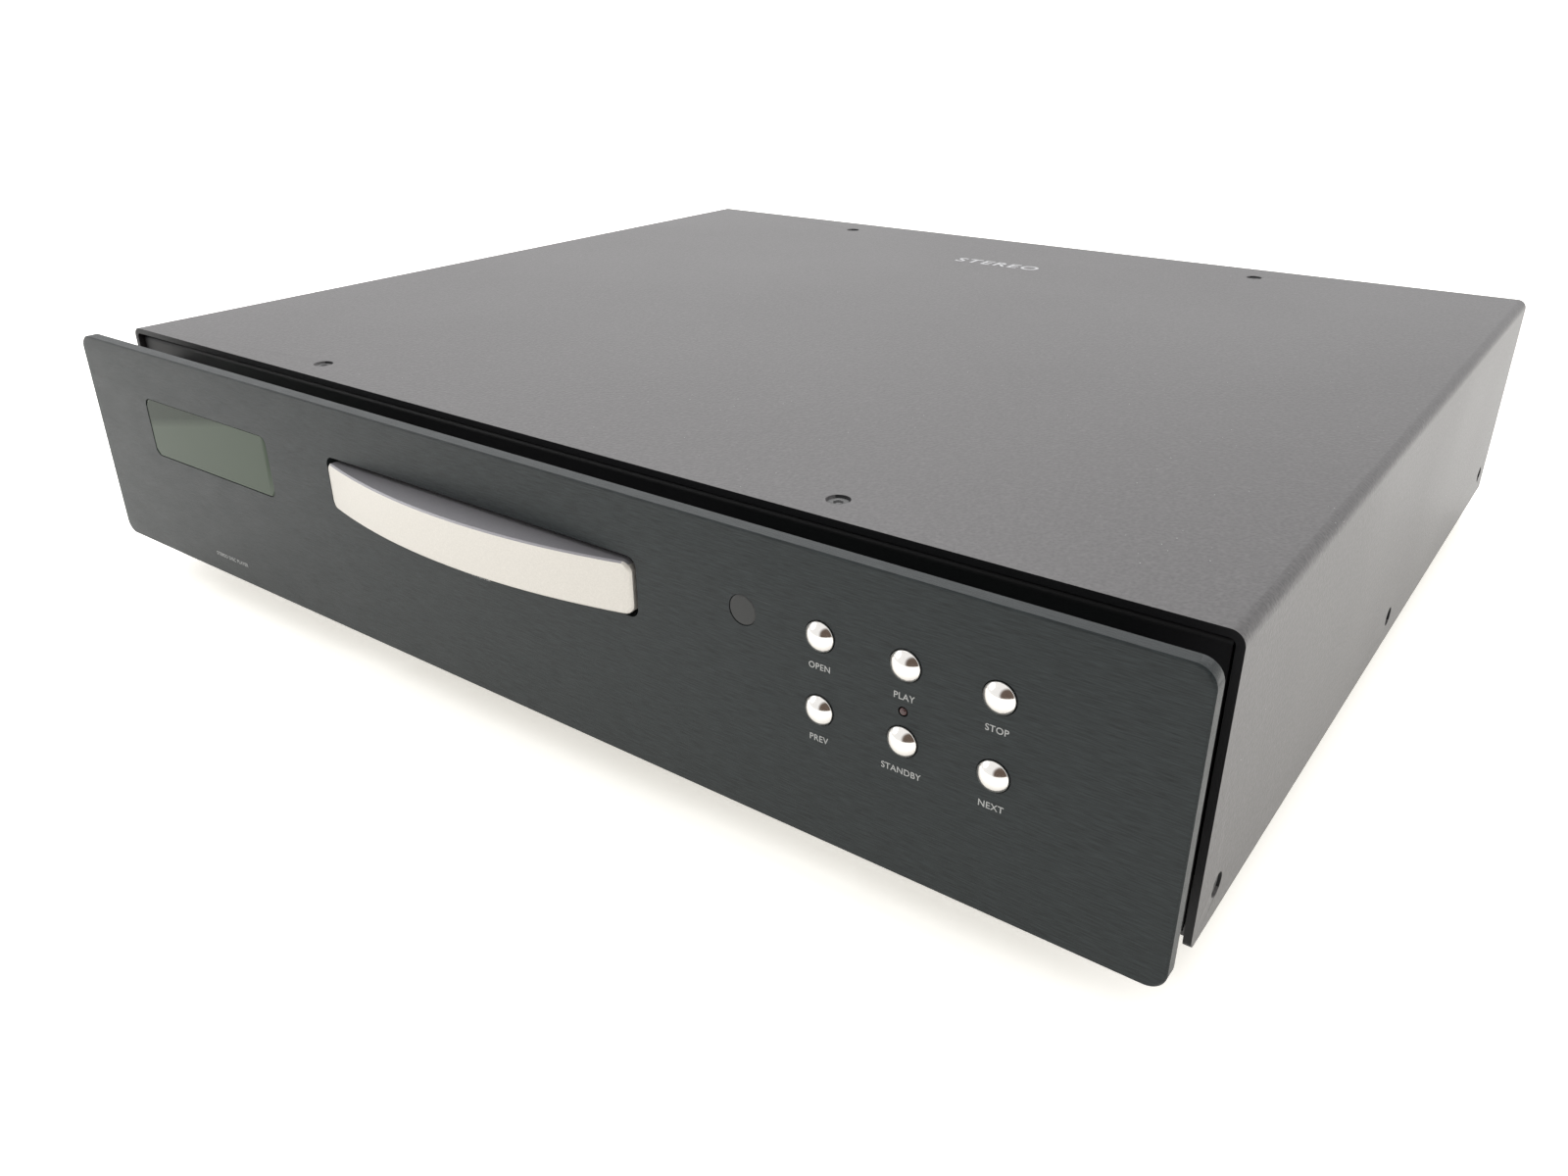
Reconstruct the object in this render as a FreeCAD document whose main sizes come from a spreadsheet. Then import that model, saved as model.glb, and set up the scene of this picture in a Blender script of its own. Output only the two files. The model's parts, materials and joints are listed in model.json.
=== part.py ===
import FreeCAD, Part
import math
import os
import re
import Sketcher

Vector = FreeCAD.Vector

# Sizes in millimetres. The x axis runs to the right seen from the front,
# the front faces -y, z is up, and the soles of the feet stand on z = 0.
sizes = {
    # front panel
    "panelWide": 430, "panelTall": 80, "panelThick": 4.4, "panelCorner": 5,
    "panelFront": -190.7, "panelLow": 15, "panelEdge": 0.5,
    "displayLeft": -176.4, "displayRight": -100.3, "displayLow": 40.5, "displayHigh": 62.3,
    "displayThick": 2, "displayGap": 0.25, "displaySunk": 0.15,
    "slotHalf": 66.3, "slotLow": 45.3, "slotHigh": 63, "slotCorner": 3,
    "sensorAcross": 101.4, "sensorUp": 58.6, "sensorRadius": 4.1,
    "lampAcross": 147.6, "lampUp": 46.5, "lampRadius": 1, "lampGap": 0.3,
    "keyNear": 124.4, "keyMiddle": 147.7, "keyFar": 171.1, "keyHigh": 58.5, "keyLow": 38.5,
    "keyRadius": 4.1, "keyGap": 0.15, "keyProud": 0.15, "keyDome": 2.2, "keyStem": 1.6,
    "keyFlange": 5.4, "keyRear": 8.5,
    # boards behind the panel
    "boardFront": -177.5, "boardThick": 1.6, "postAcross": 196, "postLow": 27, "postHigh": 80,
    "postRadius": 3.5,
    # inner front and cover
    "coverWide": 428, "coverFront": -170.9, "coverDepth": 362, "coverTop": 94, "coverLow": 12.1,
    "coverSheet": 2, "coverBend": 3.6, "coverLip": 2.2,
    "innerFront": -169.1, "innerSheet": 1.6, "innerBend": 2, "innerHalf": 211, "innerLow": 15.4,
    "innerTop": 91.2, "innerFlange": 20,
    "screwAcross": 108, "screwFront": -159.5, "screwRear": 172.3, "screwHead": 3.05,
    "screwShank": 1.4, "sinkRadius": 3.3, "sinkDepth": 1.4, "screwHex": 1.5,
    "screwSunk": 0.7, "screwCap": 0.7,
    "sideUp": 22.1, "sideFront": -157.3, "sideMiddle": 11.1, "sideRear": 176.6,
    # pan, rear panel, feet
    "panHalf": 212, "panLow": 12.6, "panSheet": 1.2, "panFlange": 30, "panFront": -167.4,
    "rearFace": 190, "rearSheet": 1.6, "rearHalf": 210.6, "rearFlange": 26,
    "footAcross": 160, "footFront": -120, "footRear": 140, "footRadius": 20, "footNeck": 17,
    "padRadius": 16, "padThick": 2,
    # tray and its front
    "discRow": -112, "trayHalf": 64, "trayFront": -186, "trayRear": 2, "trayLow": 62,
    "trayTop": 75, "trayWall": 3, "trayFloor": 68, "discRadius": 60.5, "discSink": 5,
    "smallRadius": 40.5, "smallSink": 0.8, "hubSlot": 19,
    "grabHalf": 65.1, "grabLow": 61.2, "grabHigh": 76.5, "grabProud": 0.7, "grabBulge": 9.3,
    "grabCorner": 3, "grabEdge": 0.5,
    # teeth
    "toothPitch": 3.14159265, "toothHalf": 0.57, "toothTip": 0.26, "toothRoot": 0.95,
    "toothOut": 0.8, "toothDeep": 1.1, "trayRack": -57, "sledRack": 26.5,
    # loader
    "gearAcross": -42, "gearRow": -147, "pulleyAcross": -20, "motorAcross": 12,
    "loaderHalf": 68.6, "loaderWall": 4, "loaderFront": -166, "loaderRear": 30,
    "deckLow": 50, "deckHigh": 52, "railHigh": 61.7, "wallHigh": 78, "railIn": 60.5,
    "bridgeFront": -128, "bridgeRear": -96, "bridgeSheet": 1.2,
    "beltLow": 58.4, "beltHigh": 59.8, "beltThick": 1.2, "pulleyGroove": 11.4,
    "motorGroove": 2.6, "beltSlack": 0.05,
    # traverse
    "swingRow": 5, "swingUp": 53, "pinAcross": 6, "pinUp": 50, "pinDrop": 8.5, "pinRadius": 1.4,
    "camTravel": 12, "camEnd": 2, "camHalf": 2.3, "camFront": -133.5, "camSheet": 2,
    "camLeft": -18, "camRight": 30, "camLow": 35.5, "camHigh": 56.4,
    "rodAcross": 20, "rodRadius": 1.5, "rodUp": 58, "sledHalf": 23.5, "sledFront": -99,
    "sledRear": -79, "lensRow": -89, "sledGearAcross": 34.5, "sledGearRow": -58,
    "sledMotorRow": -43,
    # rear connectors
    "inletAcross": -170, "switchAcross": -128, "socketUp": 47,
    "jackLeft": 60, "jackRight": 84, "jackDigital": 120, "jackUp": 50, "jackRadius": 4.15,
    "jackBore": 3.3, "jackEnd": 200, "opticalAcross": 146, "portAcross": 174,
    # electronics
    "pcbLow": 22, "pcbThick": 1.6, "coilAcross": -140, "coilRow": -60, "coilOuter": 40,
    "coilInner": 14, "coilLow": 13.8, "coilHigh": 53,
}

doc = FreeCAD.newDocument("CdPlayer")
sheet = doc.addObject("Spreadsheet::Sheet", "dims")
for row, (alias, number) in enumerate(sizes.items(), 1):
    sheet.set(f"A{row}", str(number))
    sheet.setAlias(f"A{row}", alias)
doc.recompute()

nodes = []


def linked(text):
    def swap(word):
        return "dims." + word.group() if word.group() in sizes else word.group()
    return re.sub(r"[A-Za-z_]\w*", swap, str(text))


def value(text):
    return float(sheet.evalExpression(linked(text)))


def bind(item, name, text):
    item.setExpression(name, linked(text))


def place(item, at, turn=None):
    if turn:
        item.Placement = FreeCAD.Placement(Vector(0, 0, 0), FreeCAD.Rotation(Vector(*turn[0]), turn[1]))
    for axis, text in zip("xyz", at):
        bind(item, "Placement.Base." + axis, text)


# Part primitives and booleans

turns = {"x": ((0, 1, 0), 90), "y": ((1, 0, 0), -90), "z": None}


def block(name, x, y, z):
    item = doc.addObject("Part::Box", name)
    for span, side in ((x, "Length"), (y, "Width"), (z, "Height")):
        bind(item, side, f"({span[1]}) - ({span[0]})")
    place(item, (x[0], y[0], z[0]))
    return item


def rod(name, at, radius, length, axis="z"):
    item = doc.addObject("Part::Cylinder", name)
    bind(item, "Radius", radius)
    bind(item, "Height", length)
    place(item, at, turns[axis])
    return item


def fused(name, items):
    item = doc.addObject("Part::MultiFuse", name)
    item.Shapes = items
    return item


def less(name, base, tools):
    item = doc.addObject("Part::Cut", name)
    item.Base = base
    item.Tool = tools[0] if len(tools) == 1 else fused(name + "Tools", tools)
    return item


def several(name, items):
    item = doc.addObject("Part::Compound", name)
    item.Links = items
    return item


# PartDesign bodies

def newBody(name, at=("0", "0", "0"), turn=None):
    body = doc.addObject("PartDesign::Body", name)
    place(body, at, turn)
    return body


def datum(body, role):
    return [item for item in body.Origin.OriginFeatures if item.Role == role][0]


def rect(left, right, low, high):
    return [(left, low), (right, low), (right, high), (left, high)]


def arcGeometry(start, end, radius):
    # a positive radius keeps the centre on the left of the walk from start to end
    half = (end - start) / 2
    rise = math.sqrt(max(radius * radius - half.Length ** 2, 0))
    side = Vector(-half.y, half.x, 0).normalize() * math.copysign(rise, radius)
    centre = start + half + side
    first, last = (start, end) if radius > 0 else (end, start)
    angles = [math.atan2(point.y - centre.y, point.x - centre.x) for point in (first, last)]
    if angles[1] <= angles[0]:
        angles[1] += 2 * math.pi
    return Part.ArcOfCircle(Part.Circle(centre, Vector(0, 0, 1), abs(radius)), *angles)


def fixPoint(sketch, geometry, corner, u, v):
    for kind, text, other in (("DistanceX", u, -2), ("DistanceY", v, -1)):
        number = value(text)
        if abs(number) < 1e-9:
            sketch.addConstraint(Sketcher.Constraint("PointOnObject", geometry, corner, other))
        else:
            index = sketch.addConstraint(Sketcher.Constraint(kind, -1, 1, geometry, corner, number))
            bind(sketch, f"Constraints[{index}]", text)


def fixRadius(sketch, geometry, text):
    index = sketch.addConstraint(Sketcher.Constraint("Radius", geometry, abs(value(text))))
    bind(sketch, f"Constraints[{index}]", f"abs({text})")


def outline(body, role, loops, lift="0"):
    # a loop is a list of (u, v) corners, (u, v, radius) starts an arc,
    # and a circle is the tuple (u, v, radius)
    sketch = body.newObject("Sketcher::SketchObject", body.Name + "Sketch")
    sketch.AttachmentSupport = [(datum(body, role), "")]
    sketch.MapMode = "FlatFace"
    bind(sketch, "AttachmentOffset.Base.z", lift)
    for loop in loops:
        if isinstance(loop, tuple):
            centre = Vector(value(loop[0]), value(loop[1]), 0)
            circle = Part.Circle(centre, Vector(0, 0, 1), value(loop[2]))
            index = sketch.addGeometry(circle, False)
            fixPoint(sketch, index, 3, loop[0], loop[1])
            fixRadius(sketch, index, loop[2])
            continue
        points = [Vector(value(corner[0]), value(corner[1]), 0) for corner in loop]
        edges = []
        for index, corner in enumerate(loop):
            start, end = points[index], points[(index + 1) % len(loop)]
            if len(corner) == 3:
                radius = value(corner[2])
                shape = arcGeometry(start, end, radius)
                ends = (1, 2) if radius > 0 else (2, 1)
            else:
                shape, ends = Part.LineSegment(start, end), (1, 2)
            edges.append((sketch.addGeometry(shape, False), ends, corner))
        for index, (geometry, ends, corner) in enumerate(edges):
            before = edges[index - 1]
            sketch.addConstraint(
                Sketcher.Constraint("Coincident", before[0], before[1][1], geometry, ends[0]))
            fixPoint(sketch, geometry, ends[0], corner[0], corner[1])
            if len(corner) == 3:
                fixRadius(sketch, geometry, corner[2])
    return sketch


def pad(body, sketch, length, midplane=False):
    item = body.newObject("PartDesign::Pad", body.Name + "Pad")
    item.Profile = sketch
    item.Midplane = midplane
    bind(item, "Length", length)
    return item


def pocket(body, sketch, length=None, towardNormal=False):
    doc.recompute()
    before = body.Shape.Volume
    item = body.newObject("PartDesign::Pocket", body.Name + "Pocket")
    item.Profile = sketch
    item.Reversed = towardNormal
    if length is None:
        item.Type = "ThroughAll"
    else:
        bind(item, "Length", length)
    doc.recompute()
    if not body.Shape.Volume < before - 1e-6:
        raise RuntimeError(item.Name + " removes nothing")
    return item


def revolved(body, loops):
    sketch = outline(body, "XZ_Plane", loops)
    item = body.newObject("PartDesign::Revolution", body.Name + "Turned")
    item.Profile = sketch
    item.ReferenceAxis = (datum(body, "Z_Axis"), [""])
    item.Angle = 360
    return item


def runs(edge, axis):
    box = edge.BoundBox
    spans = {"x": box.XLength, "y": box.YLength, "z": box.ZLength}
    return spans[axis] > 0.01 and all(spans[other] < 0.01 for other in "xyz" if other != axis)


def middle(edge):
    return edge.BoundBox.Center


def dressed(body, kind, size, chosen):
    doc.recompute()
    base = body.Tip
    names = [f"Edge{index}" for index, edge in enumerate(base.Shape.Edges, 1) if chosen(edge)]
    if not names:
        raise RuntimeError(body.Name + " has no such edge")
    item = body.newObject("PartDesign::" + kind, body.Name + kind)
    item.Base = (base, names)
    bind(item, "Radius" if kind == "Fillet" else "Size", size)
    doc.recompute()
    return item


def rounded(body, size, chosen):
    return dressed(body, "Fillet", size, chosen)


def bevelled(body, size, chosen):
    return dressed(body, "Chamfer", size, chosen)


def repeated(body, feature, axis, count, step):
    item = body.newObject("PartDesign::LinearPattern", body.Name + "Row")
    item.Originals = [feature]
    item.Direction = (datum(body, axis), [""])
    bind(item, "Length", f"({step}) * {count - 1}")
    item.Occurrences = count
    body.Tip = item
    return item


def toothRing(body, pitchRadius, count, low, high, offset=0):
    # a toothed wheel: a disc up to the roots and one tooth repeated around the axis
    disc = outline(body, "XY_Plane", [("0", "0", f"{pitchRadius} - toothDeep")], low)
    pad(body, disc, f"({high}) - ({low})")
    inner = f"{pitchRadius} - toothDeep - 0.3"
    middleRadius = f"{pitchRadius}"
    outer = f"{pitchRadius} + toothOut"
    tooth = outline(body, "XY_Plane", [[
        (inner, "-toothRoot"), (middleRadius, "-toothHalf"), (outer, "-toothTip"),
        (outer, "toothTip"), (middleRadius, "toothHalf"), (inner, "toothRoot")]], low)
    tooth.AttachmentOffset = FreeCAD.Placement(
        tooth.AttachmentOffset.Base, FreeCAD.Rotation(Vector(0, 0, 1), offset))
    bind(tooth, "AttachmentOffset.Base.z", low)
    first = pad(body, tooth, f"({high}) - ({low})")
    ring = body.newObject("PartDesign::PolarPattern", body.Name + "Teeth")
    ring.Originals = [first]
    ring.Axis = (datum(body, "Z_Axis"), [""])
    ring.Angle = 360
    ring.Occurrences = count
    body.Tip = ring


def keep(item):
    nodes.append(item)
    return item


panelBack = "panelFront + panelThick"

# front panel with its windows and button holes
panel = keep(newBody("front_panel", ("0", panelBack, "panelLow")))
pad(panel, outline(panel, "XZ_Plane", [rect("-panelWide/2", "panelWide/2", "0", "panelTall")]), "panelThick")
rounded(panel, "panelCorner", lambda edge: runs(edge, "y"))
windows = [rect("displayLeft", "displayRight", "displayLow", "displayHigh"),
           rect("-slotHalf", "slotHalf", "slotLow", "slotHigh")]
pocket(panel, outline(panel, "XZ_Plane", windows), towardNormal=True)
rounded(panel, "slotCorner", lambda edge: runs(edge, "y") and abs(middle(edge).x) < 200)
keySpots = {
    "open": ("keyNear", "keyHigh"), "play": ("keyMiddle", "keyHigh"), "stop": ("keyFar", "keyHigh"),
    "prev": ("keyNear", "keyLow"), "standby": ("keyMiddle", "keyLow"), "next": ("keyFar", "keyLow")}
holes = [(across, up, "keyRadius + keyGap") for across, up in keySpots.values()]
holes.append(("sensorAcross", "sensorUp", "sensorRadius + 0.1"))
holes.append(("lampAcross", "lampUp", "lampRadius + lampGap"))
pocket(panel, outline(panel, "XZ_Plane", holes), towardNormal=True)
bevelled(panel, "panelEdge", lambda edge: (
    abs(edge.BoundBox.YMin + value("panelThick")) < 0.01 and edge.BoundBox.YLength < 0.01
    and (abs(middle(edge).x) > 209 or middle(edge).z < 6 or middle(edge).z > 74)))

window = keep(newBody("display_window", ("0", "panelFront + displaySunk + displayThick", "panelLow")))
pane = rect("displayLeft + displayGap", "displayRight - displayGap",
            "displayLow + displayGap", "displayHigh - displayGap")
pad(window, outline(window, "XZ_Plane", [pane]), "displayThick")
rounded(window, "slotCorner - displayGap", lambda edge: runs(edge, "y"))

facing = ((1, 0, 0), 90)
sensor = keep(newBody("ir_window", ("sensorAcross", "panelFront", "panelLow + sensorUp"), facing))
revolved(sensor, [[("0", "-4"), ("sensorRadius", "-4"), ("sensorRadius", "-0.2"),
                   ("sensorRadius - 0.4", "0"), ("0", "0")]])
lamp = keep(newBody("standby_led", ("lampAcross", "panelFront", "panelLow + lampUp"), facing))
revolved(lamp, [[("0", "-6"), ("1.5", "-6"), ("1.5", "-4.6"), ("lampRadius", "-4.6"),
                 ("lampRadius", "-0.1"), ("lampRadius * 0.6", "0.3"), ("0", "0.4")]])

posts = [rod(f"post{index}", (across, panelBack, up), "postRadius",
             f"innerFront - ({panelBack})", "y")
         for index, (across, up) in enumerate(
             [(f"{side}postAcross", up) for side in ("-", "") for up in ("postLow", "postHigh")])]

screen = keep(newBody("display_module", ("0", f"{panelBack} + 7", "panelLow")))
pad(screen, outline(screen, "XZ_Plane", [rect(
    "displayLeft - 5", "displayRight + 5", "displayLow - 5", "displayHigh + 4")]), "7")
bevelled(screen, "0.8", lambda edge: runs(edge, "y"))

card = keep(newBody("front_board", ("0", "boardFront + boardThick", "panelLow")))
pad(card, outline(card, "XZ_Plane", [[
    ("-186", "8"), ("186", "8"), ("186", "68"), ("82", "68"), ("82", "38"),
    ("-82", "38"), ("-82", "68"), ("-186", "68")]]), "boardThick")
for index, (across, up) in enumerate([("-180", "30"), ("180", "30"), ("-60", "30"), ("60", "30")]):
    posts.append(rod(f"pillar{index}", (across, panelBack, up), "2.5", f"boardFront - ({panelBack})", "y"))
keep(several("panel_standoffs", posts))

switches = []
for label, (across, up) in keySpots.items():
    case = block(label + "Case", (f"{across} - 3", f"{across} + 3"), ("boardFront - 3.4", "boardFront"),
                 (f"panelLow + {up} - 3", f"panelLow + {up} + 3"))
    plunger = rod(label + "Plunger", (across, "boardFront - 3.7", f"panelLow + {up}"), "1.5", "0.5", "y")
    switches.append(fused(label + "Switch", [case, plunger]))
keep(several("key_switches", switches))

# push buttons, turned parts with a domed cap and a retaining flange
capArc = "(keyRadius * keyRadius + keyDome * keyDome) / (2 * keyDome)"
for label, (across, up) in keySpots.items():
    button = keep(newBody("button_" + label, (across, "panelFront", f"panelLow + {up}"), facing))
    revolved(button, [[
        ("0", "-keyRear"), ("keyStem", "-keyRear"), ("keyStem", "-5.6"), ("keyFlange", "-5.6"),
        ("keyFlange", "-4.7"), ("keyRadius", "-4.7"), ("keyRadius", "keyProud", capArc),
        ("0", "keyProud + keyDome")]])

# inner front plate, bent back along its top
inner = keep(newBody("sub_front"))
pad(inner, outline(inner, "YZ_Plane", [[
    ("innerFront", "innerLow"), ("innerFront + innerSheet", "innerLow"),
    ("innerFront + innerSheet", "innerTop - innerSheet"),
    ("innerFront + innerFlange", "innerTop - innerSheet"),
    ("innerFront + innerFlange", "innerTop"), ("innerFront", "innerTop")]]), "2 * innerHalf", True)
rounded(inner, "innerBend", lambda edge: runs(edge, "x") and abs(middle(edge).y - value("innerFront")) < 0.01
        and middle(edge).z > 80)
pocket(inner, outline(inner, "XZ_Plane", [rect("-71", "71", "57", "80")],
                      "-innerFront - innerSheet"), "innerSheet", towardNormal=True)
pocket(inner, outline(inner, "XY_Plane", [("-screwAcross", "screwFront", "1.5"),
                                          ("screwAcross", "screwFront", "1.5")], "innerTop"), "innerSheet")

# base pan with vent slots
pan = keep(newBody("base_pan", ("0", "rearFace - rearSheet", "0")))
pad(pan, outline(pan, "XZ_Plane", [[
    ("-panHalf", "panLow"), ("panHalf", "panLow"), ("panHalf", "panFlange"),
    ("panHalf - panSheet", "panFlange"), ("panHalf - panSheet", "panLow + panSheet"),
    ("-panHalf + panSheet", "panLow + panSheet"), ("-panHalf + panSheet", "panFlange"),
    ("-panHalf", "panFlange")]]), "rearFace - rearSheet - panFront")
rounded(pan, "1", lambda edge: runs(edge, "y") and middle(edge).z < 13 and abs(middle(edge).x) > 211.5)
vent = pocket(pan, outline(pan, "XY_Plane", [rect("60", "120", "-120", "-116")], "panLow + panSheet"), "panSheet")
repeated(pan, vent, "Y_Axis", 9, "10")
sideHoles = [("sideFront - rearFace + rearSheet", "sideUp", "1.5"),
             ("sideMiddle - rearFace + rearSheet", "sideUp", "1.5"),
             ("sideRear - rearFace + rearSheet", "sideUp", "1.5")]
pocket(pan, outline(pan, "YZ_Plane", sideHoles, "-panHalf"), "2 * panHalf", towardNormal=True)

# rear panel
back = keep(newBody("rear_panel", ("0", "rearFace", "0")))
pad(back, outline(back, "XZ_Plane", [rect("-rearHalf", "rearHalf", "panLow + panSheet", "coverTop - coverSheet")],
                  "0"), "rearSheet")
pad(back, outline(back, "XZ_Plane", [rect(
    "-rearHalf", "rearHalf", "coverTop - coverSheet - panSheet", "coverTop - coverSheet")],
    "rearSheet"), "rearFlange")
cuts = [rect("inletAcross - 13.6", "inletAcross + 13.6", "socketUp - 10", "socketUp + 10"),
        rect("switchAcross - 8.1", "switchAcross + 8.1", "socketUp - 11.6", "socketUp + 11.6"),
        rect("opticalAcross - 5", "opticalAcross + 5", "jackUp - 5", "jackUp + 5"),
        ("portAcross", "jackUp", "3.2")]
cuts += [(across, "jackUp", "jackRadius + 0.05") for across in ("jackLeft", "jackRight", "jackDigital")]
pocket(back, outline(back, "XZ_Plane", cuts), "rearSheet", towardNormal=True)
pocket(back, outline(back, "XY_Plane", [("-screwAcross", "screwRear - rearFace", "1.5"),
                                        ("screwAcross", "screwRear - rearFace", "1.5")],
                     "coverTop - coverSheet"), "panSheet")

# wrap-around cover with sunk screw seats
cover = keep(newBody("top_cover", ("0", "coverFront + coverDepth", "0")))
coverIn = "coverWide/2 - coverSheet"
pad(cover, outline(cover, "XZ_Plane", [[
    ("-coverWide/2", "coverLow"), (f"-({coverIn})", "coverLow"), (f"-({coverIn})", "coverTop - coverSheet"),
    (coverIn, "coverTop - coverSheet"), (coverIn, "coverLow"), ("coverWide/2", "coverLow"),
    ("coverWide/2", "coverTop"), ("-coverWide/2", "coverTop")]]), "coverDepth")
rounded(cover, "coverBend", lambda edge: runs(edge, "y") and middle(edge).z > 93)
rounded(cover, "coverBend - coverSheet", lambda edge: runs(edge, "y") and 91 < middle(edge).z < 93
        and abs(middle(edge).x) > 200)
rounded(cover, "coverLip", lambda edge: runs(edge, "x") and middle(edge).z < 13
        and middle(edge).y < -300)
topSpots = [(side + "screwAcross", f"{row} - coverFront - coverDepth")
            for side in ("", "-") for row in ("screwFront", "screwRear")]
pocket(cover, outline(cover, "XY_Plane", [(*spot, "1.6") for spot in topSpots], "coverTop"), "coverSheet")
pocket(cover, outline(cover, "XY_Plane", [(*spot, "sinkRadius") for spot in topSpots], "coverTop"), "sinkDepth")
sideSpots = [(f"{row} - coverFront - coverDepth", "sideUp") for row in ("sideFront", "sideMiddle", "sideRear")]
pocket(cover, outline(cover, "YZ_Plane", [(*spot, "1.6") for spot in sideSpots], "-coverWide/2"),
       "coverWide", towardNormal=True)
for toward, lift in ((True, "-coverWide/2"), (False, "coverWide/2")):
    pocket(cover, outline(cover, "YZ_Plane", [(*spot, "sinkRadius") for spot in sideSpots], lift),
           "sinkDepth", towardNormal=toward)


def socketScrew(name, at, axis, outward, length):
    # head, shank and a square-cornered key socket, built along the given axis
    sign = "" if outward > 0 else "-"
    body = newBody(name, at, {"z": ((0, 0, 1), 0), "x": ((0, 1, 0), 90), "y": ((1, 0, 0), -90)}[axis])
    corner = [("screwHex", "0"), ("screwHex/2", "screwHex*0.866"), ("-screwHex/2", "screwHex*0.866"),
              ("-screwHex", "0"), ("-screwHex/2", "-screwHex*0.866"), ("screwHex/2", "-screwHex*0.866")]
    revolved(body, [[("0", f"-({sign}{length})"), ("screwShank", f"-({sign}{length})"),
                     ("screwShank", f"-({sign}screwCap)"), ("screwHead", f"-({sign}screwCap)"),
                     ("screwHead", f"-({sign}0.15)"), ("screwHead - 0.25", "0"), ("0", "0")]])
    pocket(body, outline(body, "XY_Plane", [corner]), "screwCap - 0.15", towardNormal=outward < 0)
    return body


def crossScrew(name, at):
    # a domed head with a cross recess, facing the back
    body = newBody(name, at, ((1, 0, 0), -90))
    revolved(body, [[("0", "0"), ("2.9", "0"), ("2.9", "0.7", "4.2"), ("0", "1.8")]])
    cross = [rect("-1.5", "1.5", "-0.3", "0.3"), rect("-0.3", "0.3", "-1.5", "1.5")]
    for arm in cross:
        pocket(body, outline(body, "XY_Plane", [arm], "1.8"), "1.1")
    return body


screws = []
for index, (across, row) in enumerate([(side + "screwAcross", row) for side in ("", "-")
                                       for row in ("screwFront", "screwRear")]):
    screws.append(socketScrew(f"topScrew{index}", (across, row, "coverTop - screwSunk"), "z", 1, "5"))
for index, row in enumerate(("sideFront", "sideMiddle", "sideRear")):
    screws.append(socketScrew(f"rightScrew{index}", ("coverWide/2 - screwSunk", row, "sideUp"), "x", 1, "5"))
    screws.append(socketScrew(f"leftScrew{index}", ("-coverWide/2 + screwSunk", row, "sideUp"), "x", -1, "5"))

# feet
feet, soles = [], []
footSpots = [(side + "footAcross", row) for side in ("", "-") for row in ("footFront", "footRear")]
for index, (across, row) in enumerate(footSpots):
    foot = newBody(f"foot{index}", (across, row, "0"))
    revolved(foot, [[("0", "padThick - 0.6"), ("padRadius", "padThick - 0.6"), ("padRadius", "1"),
                     ("footRadius - 0.8", "1"), ("footRadius", "1.8"), ("footRadius", "4.6"),
                     ("footNeck", "5.2"), ("footNeck", "6.6"), ("footRadius", "7.2"),
                     ("footRadius", "panLow - 0.6"), ("footRadius - 0.6", "panLow"), ("0", "panLow")]])
    feet.append(foot)
    soles.append(rod(f"sole{index}", (across, row, "0"), "padRadius - 0.1", "padThick - 0.6"))
keep(several("feet", feet))
keep(several("foot_pads", soles))

# disc tray with its recess, hub slot and rack; its origin is the disc centre
tray = keep(newBody("disc_tray", ("0", "discRow", "0")))
pad(tray, outline(tray, "XY_Plane", [rect(
    "-trayHalf", "trayHalf", "trayFront - discRow", "trayRear - discRow")], "trayLow"), "trayTop - trayLow")
rounded(tray, "2", lambda edge: runs(edge, "z") and middle(edge).y > 0)
pocket(tray, outline(tray, "XY_Plane", [rect(
    "-trayHalf + trayWall", "trayHalf - trayWall", "trayFront - discRow + trayWall",
    "trayRear - discRow + 5")], "trayLow"), "trayFloor - trayLow", towardNormal=True)
pocket(tray, outline(tray, "XY_Plane", [("0", "0", "discRadius")], "trayTop"), "discSink")
pocket(tray, outline(tray, "XY_Plane", [("0", "0", "smallRadius")], "trayTop - discSink"), "smallSink")
slot = [("-hubSlot", "0", "hubSlot"), ("0", "-hubSlot", "hubSlot"), ("hubSlot", "0"), ("hubSlot", "trayRear - discRow + 5"),
        ("-hubSlot", "trayRear - discRow + 5")]
pocket(tray, outline(tray, "XY_Plane", [slot], "trayTop"), "trayTop - trayLow")
rackSpan = ("gearRow - discRow - 13 * toothPitch / 4", "trayRear - discRow - 1")
pad(tray, outline(tray, "XY_Plane", [rect(
    "-trayHalf + trayWall - 0.5", "trayRack - toothDeep", *rackSpan)], "62.6"), "4")
firstTooth = "gearRow - discRow - 2.5 * toothPitch"
rackTooth = pad(tray, outline(tray, "XY_Plane", [[
    ("trayRack - toothDeep - 0.2", f"{firstTooth} - toothRoot"), ("trayRack", f"{firstTooth} - toothHalf"),
    ("trayRack + toothOut", f"{firstTooth} - toothTip"), ("trayRack + toothOut", f"{firstTooth} + toothTip"),
    ("trayRack", f"{firstTooth} + toothHalf"),
    ("trayRack - toothDeep - 0.2", f"{firstTooth} + toothRoot")]], "62.6"), "4")
repeated(tray, rackTooth, "Y_Axis", 50, "toothPitch")

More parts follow.
